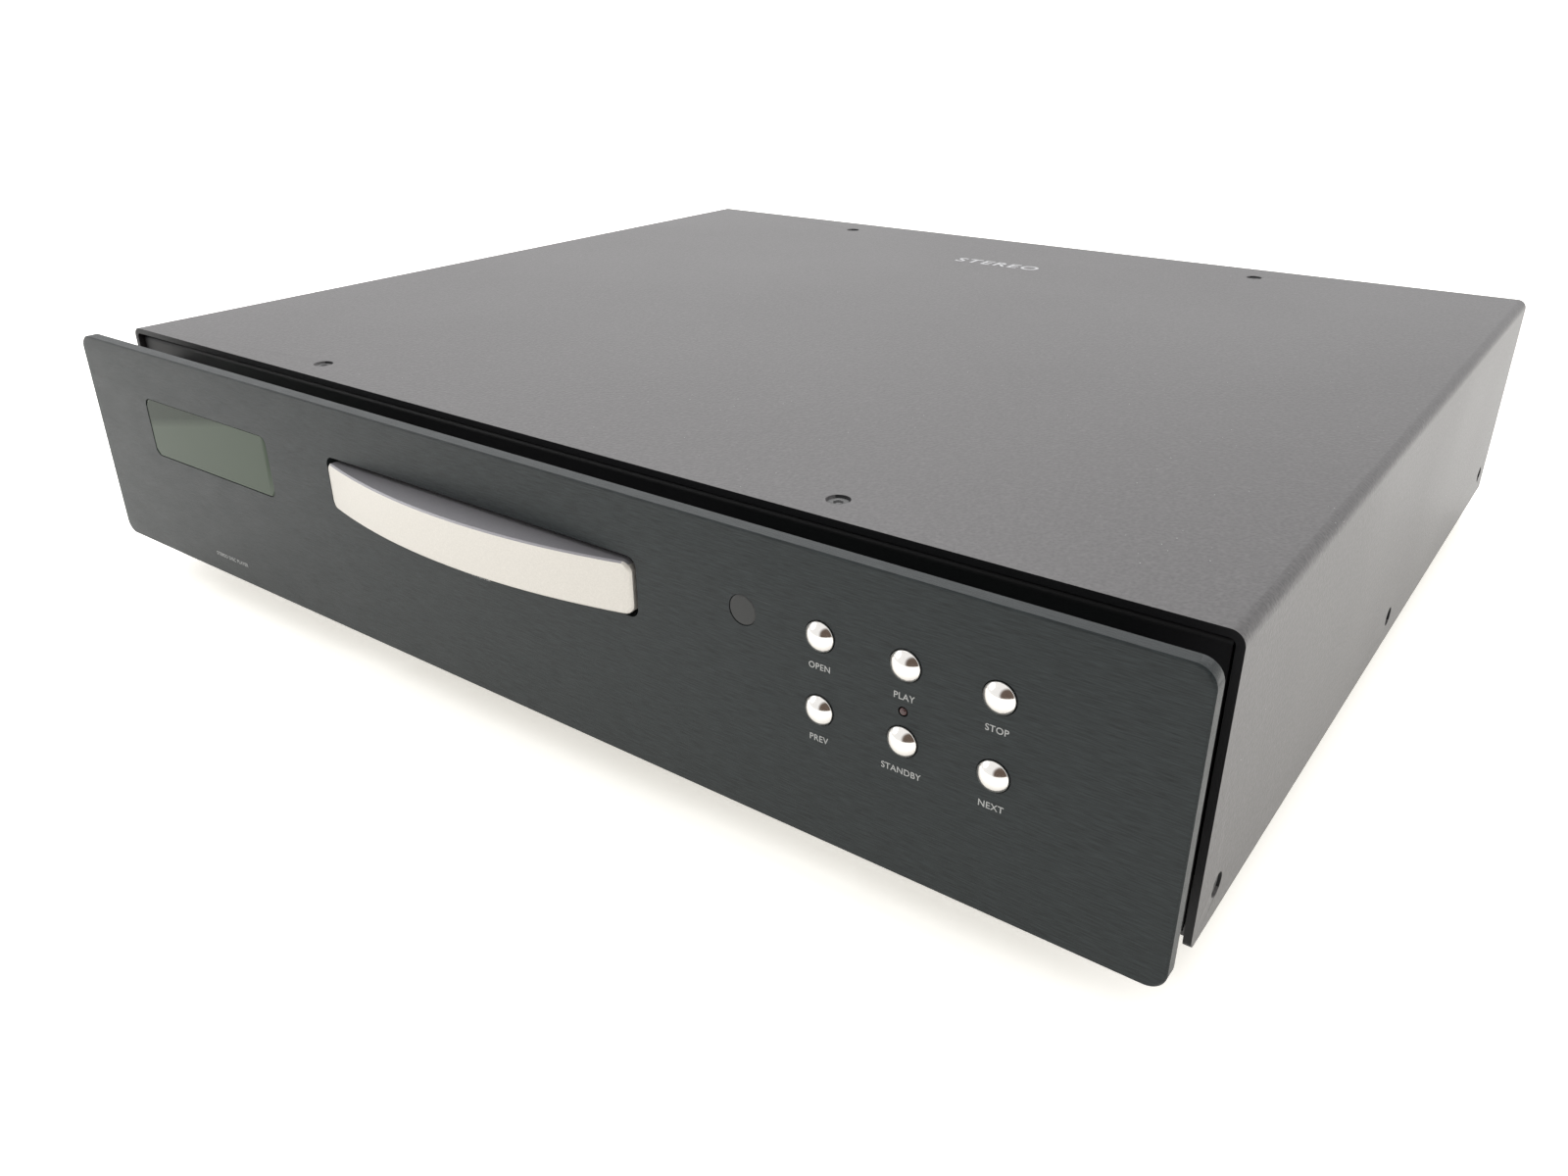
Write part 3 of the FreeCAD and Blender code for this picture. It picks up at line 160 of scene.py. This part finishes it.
def brushedGroup():
    # fine streaks along one direction, with slow bands across them
    group, given, made = newGroup(
        "brushedStreaks",
        [("Coordinate", "Vector", (0, 0, 0)), ("Along", "Float", 6.0), ("Across", "Float", 2600.0),
         ("Depth", "Float", 0.15)],
        [("Streaks", "Float"), ("Bands", "Float"), ("Normal", "Vector")])
    sizes = addNode(group, "CombineXYZ", {"X": given.outputs["Along"], "Y": given.outputs["Across"],
                                          "Z": given.outputs["Across"]})
    stretched = addNode(group, "VectorMath", {0: given.outputs["Coordinate"], 1: sizes.outputs[0]},
                        operation="MULTIPLY")
    fine = addNode(group, "TexNoise", {"Vector": stretched.outputs[0], "Scale": 1.0, "Detail": 4.0,
                                       "Roughness": 0.65})
    slowed = addNode(group, "VectorMath", {0: stretched.outputs[0], 1: (0.5, 0.06, 0.06)},
                     operation="MULTIPLY")
    slow = addNode(group, "TexNoise", {"Vector": slowed.outputs[0], "Scale": 1.0, "Detail": 2.0})
    bump = addNode(group, "Bump", {"Height": fine.outputs["Fac"], "Strength": given.outputs["Depth"],
                                   "Distance": 0.0002})
    clear = addNode(group, "MapRange", {"Value": fine.outputs["Fac"], "From Min": 0.3, "From Max": 0.7})
    group.links.new(clear.outputs["Result"], made.inputs["Streaks"])
    group.links.new(slow.outputs["Fac"], made.inputs["Bands"])
    group.links.new(bump.outputs["Normal"], made.inputs["Normal"])
    return group


def grainGroup():
    # the small bumps of powder paint, cast or moulded surfaces
    group, given, made = newGroup(
        "surfaceGrain",
        [("Coordinate", "Vector", (0, 0, 0)), ("Size", "Float", 1600.0), ("Depth", "Float", 0.2),
         ("Lumps", "Float", 0.5)],
        [("Tone", "Float"), ("Clouds", "Float"), ("Normal", "Vector")])
    fine = addNode(group, "TexNoise", {"Vector": given.outputs["Coordinate"], "Scale": given.outputs["Size"],
                                       "Detail": 3.0, "Roughness": 0.6})
    cells = addNode(group, "TexVoronoi", {"Vector": given.outputs["Coordinate"],
                                          "Scale": given.outputs["Size"]}, feature="SMOOTH_F1")
    mixed = addNode(group, "Mix", {"Factor": given.outputs["Lumps"], "A": fine.outputs["Fac"],
                                   "B": cells.outputs["Distance"]})
    slow = addNode(group, "TexNoise", {"Vector": given.outputs["Coordinate"], "Scale": 9.0, "Detail": 3.0})
    bump = addNode(group, "Bump", {"Height": mixed.outputs["Result"], "Strength": given.outputs["Depth"],
                                   "Distance": 0.0003})
    clear = addNode(group, "MapRange", {"Value": mixed.outputs["Result"], "From Min": 0.3, "From Max": 0.7})
    group.links.new(clear.outputs["Result"], made.inputs["Tone"])
    group.links.new(slow.outputs["Fac"], made.inputs["Clouds"])
    group.links.new(bump.outputs["Normal"], made.inputs["Normal"])
    return group


def dustGroup():
    # sparse pale specks that have settled on a surface
    group, given, made = newGroup(
        "settledDust",
        [("Coordinate", "Vector", (0, 0, 0)), ("Spacing", "Float", 260.0), ("Amount", "Float", 0.05)],
        [("Specks", "Float")])
    cells = addNode(group, "TexVoronoi", {"Vector": given.outputs["Coordinate"],
                                          "Scale": given.outputs["Spacing"], "Randomness": 1.0})
    dot = addNode(group, "Math", {0: cells.outputs["Distance"], 1: given.outputs["Amount"]},
                  operation="LESS_THAN")
    patchy = addNode(group, "TexNoise", {"Vector": given.outputs["Coordinate"], "Scale": 40.0})
    chosen = addNode(group, "Math", {0: patchy.outputs["Fac"], 1: 0.52}, operation="GREATER_THAN")
    both = addNode(group, "Math", {0: dot.outputs[0], 1: chosen.outputs[0]}, operation="MULTIPLY")
    group.links.new(both.outputs[0], made.inputs["Specks"])
    return group


groups = {"brushed": brushedGroup(), "grain": grainGroup(), "dust": dustGroup()}
print("shader groups built")

# materials


def newMaterial(name, shader):
    material = bpy.data.materials.new(name)
    material.use_nodes = True
    tree = material.node_tree
    principled = tree.nodes["Principled BSDF"]
    for label, value in shader.items():
        principled.inputs[label].default_value = value
    return material, tree, principled


def objectPoint(tree):
    return tree.nodes.new("ShaderNodeTexCoord").outputs["Object"]


def useGroup(tree, name, values):
    node = tree.nodes.new("ShaderNodeGroup")
    node.node_tree = groups[name]
    for label, value in values.items():
        if isinstance(value, bpy.types.NodeSocket):
            tree.links.new(value, node.inputs[label])
        else:
            node.inputs[label].default_value = value
    return node


def shaded(colour, factor):
    return (*[min(channel * factor, 1) for channel in colour], 1)


def spread(tree, factor, low, high):
    node = addNode(tree, "MapRange", {"Value": factor, "To Min": low, "To Max": high})
    return node.outputs["Result"]


dustColour = (0.6, 0.6, 0.58, 1)


def brushedMetal(name, colour, metallic, roughness, along, across, depth, contrast, level=0.5):
    material, tree, principled = newMaterial(name, {"Metallic": metallic, "Specular IOR Level": level})
    streaks = useGroup(tree, "brushed", {"Coordinate": objectPoint(tree), "Along": along,
                                         "Across": across, "Depth": depth})
    tone = tinted(tree, streaks.outputs["Streaks"], shaded(colour, 1 - contrast),
                  shaded(colour, 1 + contrast))
    tree.links.new(tone, principled.inputs["Base Color"])
    tree.links.new(spread(tree, streaks.outputs["Bands"], roughness * 0.85, roughness * 1.15),
                   principled.inputs["Roughness"])
    tree.links.new(streaks.outputs["Normal"], principled.inputs["Normal"])
    return material


def grained(name, colour, roughness, size, depth, lumps=0.5, metallic=0.0, contrast=0.15, dust=0.0,
            extra=None):
    material, tree, principled = newMaterial(name, {"Metallic": metallic, **(extra or {})})
    point = objectPoint(tree)
    grain = useGroup(tree, "grain", {"Coordinate": point, "Size": size, "Depth": depth, "Lumps": lumps})
    tone = tinted(tree, grain.outputs["Tone"], shaded(colour, 1 - contrast), shaded(colour, 1 + contrast))
    if dust:
        specks = useGroup(tree, "dust", {"Coordinate": point, "Amount": dust})
        tone = tinted(tree, specks.outputs["Specks"], tone, dustColour)
    tree.links.new(tone, principled.inputs["Base Color"])
    tree.links.new(spread(tree, grain.outputs["Clouds"], roughness * 0.9, roughness * 1.1),
                   principled.inputs["Roughness"])
    tree.links.new(grain.outputs["Normal"], principled.inputs["Normal"])
    return material


screen = {
    # dark: the screen colour with painted shade for the rim's corner; light: the screen colour outside it
    "dark": (0.010, 0.019, 0.009),
    "light": (0.048, 0.065, 0.045),
    "roughness": 0.22,
    "gloss": 0.12,
    "acrossShare": 0.7,  # how much the way across counts beside the way down
    "shadeStart": 0.36,
    "shadeEnd": 0.52,
}


def displayGlass(name):
    # tinted glass over a pale screen, with shade painted into the colour in the corner that the rim would
    # shade
    material, tree, principled = newMaterial(name, {"Specular IOR Level": screen["gloss"]})
    low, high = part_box("display_window")
    place = addNode(tree, "Mapping", {"Vector": objectPoint(tree), "Location": (-low[0], 0, -high[2])})
    apart = addNode(tree, "SeparateXYZ", {"Vector": place.outputs["Vector"]})
    along = addNode(tree, "Math", {0: apart.outputs["X"], 1: screen["acrossShare"] / (high[0] - low[0])},
                    operation="MULTIPLY")
    down = addNode(tree, "Math", {0: apart.outputs["Z"], 1: -1 / (high[2] - low[2])}, operation="MULTIPLY")
    both = addNode(tree, "Math", {0: along.outputs[0], 1: down.outputs[0]})
    # painted shade: a soft mask that is 0 in the top-left corner the rim would shade and 1 elsewhere
    paintedShadeFade = addNode(tree, "MapRange", {"Value": both.outputs[0], "From Min": screen["shadeStart"],
                                     "From Max": screen["shadeEnd"]})
    grain = useGroup(tree, "grain", {"Coordinate": objectPoint(tree), "Size": 1400, "Depth": 0.01})
    tone = tinted(tree, paintedShadeFade.outputs["Result"], (*screen["dark"], 1), (*screen["light"], 1))
    tree.links.new(tone, principled.inputs["Base Color"])
    tree.links.new(spread(tree, grain.outputs["Clouds"], screen["roughness"] * 0.9,
                          screen["roughness"] * 1.1), principled.inputs["Roughness"])
    tree.links.new(grain.outputs["Normal"], principled.inputs["Normal"])
    return material


finishes = {
    "panel_black": lambda name: brushedMetal(name, (0.0145, 0.0185, 0.0195), 0.0, 0.40, 170, 3000, 0.36,
                                             0.5, level=0.2),
    "cover_paint": lambda name: grained(name, (0.060, 0.056, 0.057), 0.42, 1050, 0.48, 0.5, contrast=0.3,
                                        dust=0.03, extra={"Specular IOR Level": 0.6}),
    "inner_black": lambda name: grained(name, (0.006, 0.006, 0.007), 0.5, 2200, 0.08,
                                        extra={"Specular IOR Level": 0.25}),
    "display_glass": displayGlass,
    "sensor_black": lambda name: grained(name, (0.008, 0.009, 0.009), 0.35, 900, 0.01,
                                         extra={"Specular IOR Level": 0.4}),
    "lamp_red": lambda name: grained(name, (0.055, 0.026, 0.026), 0.25, 900, 0.01),
    "satin_silver": lambda name: grained(name, (0.52, 0.50, 0.465), 0.45, 2600, 0.12, 0.5, metallic=0.5,
                                         contrast=0.06),
    "key_chrome": lambda name: grained(name, (0.72, 0.70, 0.675), 0.13, 900, 0.01, metallic=1.0,
                                       contrast=0.02),
    "zinc_steel": lambda name: brushedMetal(name, (0.58, 0.59, 0.6), 1.0, 0.36, 40, 1800, 0.05, 0.12),
    "screw_black": lambda name: grained(name, (0.05, 0.05, 0.05), 0.4, 2400, 0.1,
                                        extra={"Specular IOR Level": 0.5}),
    "pan_steel": lambda name: grained(name, (0.03, 0.03, 0.031), 0.45, 2000, 0.15),
    "rear_black": lambda name: grained(name, (0.028, 0.028, 0.03), 0.45, 2200, 0.15, dust=0.03),
    "foot_plastic": lambda name: grained(name, (0.02, 0.02, 0.021), 0.5, 1800, 0.2),
    "pad_rubber": lambda name: grained(name, (0.025, 0.025, 0.025), 0.8, 1500, 0.3),
    "tray_plastic": lambda name: grained(name, (0.02, 0.02, 0.022), 0.42, 2400, 0.2, dust=0.03),
    "gear_white": lambda name: grained(name, (0.72, 0.7, 0.64), 0.4, 900, 0.04, contrast=0.04,
                                       extra={"Subsurface Weight": 0.1}),
    "gear_black": lambda name: grained(name, (0.03, 0.03, 0.03), 0.4, 1200, 0.1),
    "belt_rubber": lambda name: grained(name, (0.02, 0.02, 0.02), 0.6, 1500, 0.2),
    "pcb_green": lambda name: grained(name, (0.02, 0.13, 0.05), 0.3, 700, 0.05, contrast=0.3),
    "chip_black": lambda name: grained(name, (0.02, 0.02, 0.02), 0.5, 3000, 0.2),
    "can_sleeve": lambda name: grained(name, (0.02, 0.025, 0.06), 0.25, 900, 0.02),
    "coil_tape": lambda name: grained(name, (0.5, 0.33, 0.03), 0.25, 300, 0.1, contrast=0.25),
    "sink_black": lambda name: grained(name, (0.02, 0.02, 0.02), 0.4, 1800, 0.1, metallic=0.5),
    "ribbon_grey": lambda name: grained(name, (0.5, 0.5, 0.5), 0.5, 900, 0.05),
    "lens_glass": lambda name: grained(name, (0.12, 0.16, 0.35), 0.04, 900, 0.0,
                                       extra={"Coat Weight": 1.0}),
    "jack_metal": lambda name: grained(name, (0.9, 0.62, 0.26), 0.2, 1200, 0.03, metallic=1.0,
                                       contrast=0.05),
    "jack_insert": lambda name: grained(name, (0.75, 0.75, 0.73), 0.4, 900, 0.03, contrast=0.03),
    "connector_black": lambda name: grained(name, (0.018, 0.018, 0.02), 0.4, 2600, 0.2),
    "foam_pad": lambda name: grained(name, (0.06, 0.06, 0.06), 0.85, 1400, 0.4),
}
materials = {name: make(name) for name, make in finishes.items()}


inks = {  # colour and roughness of the prints and of the rings round the jacks
    "print": ((0.31, 0.315, 0.31), 0.6),
    "printTop": ((0.42, 0.42, 0.43), 0.5),
    "printRear": ((0.6, 0.6, 0.6), 0.5),
    "redRing": ((0.55, 0.02, 0.02), 0.35),
    "whiteRing": ((0.8, 0.8, 0.78), 0.35),
    "blackRing": ((0.02, 0.02, 0.02), 0.35),
}
for name, (colour, roughness) in inks.items():
    materials[name] = grained(name, colour, roughness, 1500, 0.02, contrast=0.04)
# painted shade: a darker copy of satin_silver, laid on the handle's upward faces
materials["satinTop"] = grained("satinTop", (0.25, 0.245, 0.26), 0.4, 2600, 0.1, metallic=0.3, contrast=0.06)
materials["floor"] = newMaterial("floor", {
    "Base Color": (*studio["floorColour"], 1), "Roughness": 0.9,
    "Emission Color": (*studio["glowColour"], 1), "Emission Strength": studio["floorGlow"]})[0]
print("materials built")

# pieces


def linkMesh(name, mesh, materialName):
    mesh.materials.clear()
    mesh.materials.append(materials[materialName])
    piece = bpy.data.objects.new(name, mesh)
    bpy.context.scene.collection.objects.link(piece)
    return piece


def camel(words):
    first, *rest = words.split("_")
    return first + "".join(word.capitalize() for word in rest)


paintedShadeSides = {  # painted shade: a darker second material for the faces that look one way and sit in shade: the direction and the material
    # the cover's front-facing flange, in the panel's shadow, gets inner_black as painted shade
    "top_cover": ((0, -1, 0), "inner_black"),
    # the handle's upward faces get the darker satin as painted shade
    "tray_front": ((0, 0, 1), "satinTop"),
}


# paints shade by giving the faces that look one way the darker material
def paintShadeOnSides(mesh, toward, shadeMaterial):
    mesh.materials.append(materials[shadeMaterial])
    for face in mesh.polygons:
        if face.normal.dot(Vector(toward)) > 0.7:
            face.material_index = 1


def smoothedCopy(node, angle):
    # the same solid with its triangles joined, so that round faces shade smoothly
    form = bmesh.new()
    form.from_mesh(nodes[node].data)
    bmesh.ops.remove_doubles(form, verts=form.verts, dist=0.002 * mm)
    bmesh.ops.dissolve_degenerate(form, edges=form.edges, dist=0.001 * mm)
    mesh = bpy.data.meshes.new(camel(node))
    form.to_mesh(mesh)
    form.free()
    mesh.polygons.foreach_set("use_smooth", [True] * len(mesh.polygons))
    mesh.set_sharp_from_angle(angle=math.radians(angle))
    piece = linkMesh(camel(node), mesh, slotOf[node])
    if node in paintedShadeSides:
        paintShadeOnSides(mesh, *paintedShadeSides[node])
    flats = piece.modifiers.new("flats", "WEIGHTED_NORMAL")  # keeps the flat faces flat beside round edges
    flats.keep_sharp = True
    flats.weight = 100
    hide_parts(node)
    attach(piece, bodyOf[node])
    return piece


flatAngles = {"disc_tray": 6, "tray_front": 20}  # pieces whose shallow steps stay crisp
for node in nodes:
    smoothedCopy(node, flatAngles.get(node, 28))
print("solids carried over")

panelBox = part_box("front_panel")
panelFront = panelBox[0][1]
panelLow = panelBox[0][2]
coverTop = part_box("top_cover")[1][2]
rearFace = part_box("rear_panel")[1][1]

legends = {
    "height": 1.7 * mm,
    "thick": 0.05 * mm,
    "extrude": 0.01,  # half the thickness of a word before it is scaled
    "spacing": 1.04,
    "words": {
        "button_open": "OPEN", "button_play": "PLAY", "button_stop": "STOP",
        "button_prev": "PREV", "button_standby": "STANDBY", "button_next": "NEXT",
    },
    "below": 8.05 * mm,  # from the middle of a key to the middle of its word
    "plain": {  # words, height, place across, place above the panel's lower edge
        "drawerWords": ("DIGITAL DISC PLAYER", 1.1 * mm, -1.0 * mm, 40.2 * mm),
        "cornerWords": ("STEREO DISC PLAYER", 1.4 * mm, -138.6 * mm, 7.8 * mm),
    },
    "plainSpacing": 1.1,
}

facings = {
    "front": Matrix.Rotation(math.radians(90), 4, "X"),
    "back": Matrix.Rotation(math.radians(180), 4, "Z") @ Matrix.Rotation(math.radians(90), 4, "X"),
    "top": Matrix.Identity(4),
}


def wordMesh(words, capHeight, spacing=1.0, heavy=0.008):
    curve = bpy.data.curves.new("words", "FONT")
    curve.body = words
    curve.align_x = "CENTER"
    curve.size = 1.0
    curve.space_character = spacing
    curve.offset = heavy
    curve.extrude = legends["extrude"]
    curve.resolution_u = 4
    holder = bpy.data.objects.new("words", curve)
    bpy.context.scene.collection.objects.link(holder)
    bpy.context.view_layer.update()
    mesh = bpy.data.meshes.new_from_object(holder)
    bpy.data.objects.remove(holder)
    heights = [corner.co.y for corner in mesh.vertices]
    scale = capHeight / (max(heights) - min(heights))
    middle = (max(heights) + min(heights)) / 2
    size = Matrix.Diagonal((scale, scale, legends["thick"] / (2 * legends["extrude"]), 1))
    mesh.transform(size @ Matrix.Translation((0, -middle, legends["extrude"])))
    return mesh


def printWords(name, words, capHeight, place, facing, material, spacing=1.0, heavy=0.008):
    mesh = wordMesh(words, capHeight, spacing, heavy)
    mesh.transform(Matrix.Translation(place) @ facings[facing])
    piece = linkMesh(name, mesh, material)
    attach(piece, "chassis")
    return piece


def keyLegends():
    for node, words in legends["words"].items():
        low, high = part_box(node)
        across, up = (low[0] + high[0]) / 2, (low[2] + high[2]) / 2
        place = (across, panelFront, up - legends["below"])
        printWords(camel(node) + "Word", words, legends["height"], place, "front", "print",
                   legends["spacing"])
    for name, (words, height, across, up) in legends["plain"].items():
        printWords(name, words, height, (across, panelFront, panelLow + up), "front", "print",
                   legends["plainSpacing"])


def annulus(outer, inner, thick):
    # a flat ring with its back on the plane z = 0
    form = bmesh.new()
    bmesh.ops.create_circle(form, segments=96, radius=outer)
    grown = bmesh.ops.extrude_edge_only(form, edges=form.edges[:])
    inside = [vert for vert in grown["geom"] if isinstance(vert, bmesh.types.BMVert)]
    bmesh.ops.scale(form, vec=(inner / outer, inner / outer, 1), verts=inside)
    lifted = bmesh.ops.extrude_face_region(form, geom=form.faces[:])
    raised = [vert for vert in lifted["geom"] if isinstance(vert, bmesh.types.BMVert)]
    bmesh.ops.translate(form, vec=(0, 0, thick), verts=raised)
    bmesh.ops.recalc_face_normals(form, faces=form.faces)
    mesh = bpy.data.meshes.new("annulus")
    form.to_mesh(mesh)
    form.free()
    return mesh


def printRing(name, outer, inner, place, facing, material):
    mesh = annulus(outer, inner, legends["thick"])
    mesh.transform(Matrix.Translation(place) @ facings[facing])
    piece = linkMesh(name, mesh, material)
    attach(piece, "chassis")


topMark = {
    "words": "STEREO",
    "row": 133.0 * mm,
    "height": 8.0 * mm,
    "spacing": 1.15,
    "heavy": 0.012,
}


def coverMark():
    # one plain word at the middle of the cover's width, towards the back
    printWords("coverWords", topMark["words"], topMark["height"], (0, topMark["row"], coverTop),
               "top", "printTop", topMark["spacing"], topMark["heavy"])


rearPrint = {
    "height": 2.1 * mm,
    "above": 10.2 * mm,
    "overSocket": 4.6 * mm,
    "ringOuter": 7.3 * mm,
    "ringInner": 5.9 * mm,
    "jacks": {"rca_left": ("LEFT", "whiteRing"), "rca_right": ("RIGHT", "redRing"),
              "rca_digital": ("DIGITAL", "blackRing")},
    "sockets": {"optical_output": "OPTICAL", "control_port": "REMOTE", "power_switch_frame": "POWER",
                "mains_inlet": "MAINS"},
    "groups": {"ANALOG OUT": (72.0 * mm, 36.5 * mm), "DIGITAL OUT": (133.0 * mm, 36.5 * mm)},
}


def rearLegends():
    spots = {mount["name"]: mount["pos_m"] for mount in frame["record"]["mounts"]}
    for jack, (words, colour) in rearPrint["jacks"].items():
        across, _, up = spots[jack]
        printRing(camel(jack) + "Ring", rearPrint["ringOuter"], rearPrint["ringInner"],
                  (across, rearFace, up), "back", colour)
        printWords(camel(jack) + "Word", words, rearPrint["height"],
                   (across, rearFace, up + rearPrint["above"]), "back", "printRear")
    for node, words in rearPrint["sockets"].items():
        low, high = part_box(node)
        place = ((low[0] + high[0]) / 2, rearFace, high[2] + rearPrint["overSocket"])
        printWords(camel(node) + "Word", words, rearPrint["height"], place, "back", "printRear")
    for words, (across, up) in rearPrint["groups"].items():
        printWords(camel(words.lower().replace(" ", "_")) + "Word", words, rearPrint["height"],
                   (across, rearFace, up), "back", "printRear")


coverMark()
rearLegends()
keyLegends()
print("legends printed")

# floor
floorForm = bmesh.new()
bmesh.ops.create_grid(floorForm, x_segments=1, y_segments=1, size=studio["floorSize"] / 2)
floorMesh = bpy.data.meshes.new("floor")
floorForm.to_mesh(floorMesh)
floorForm.free()
linkMesh("floor", floorMesh, "floor")
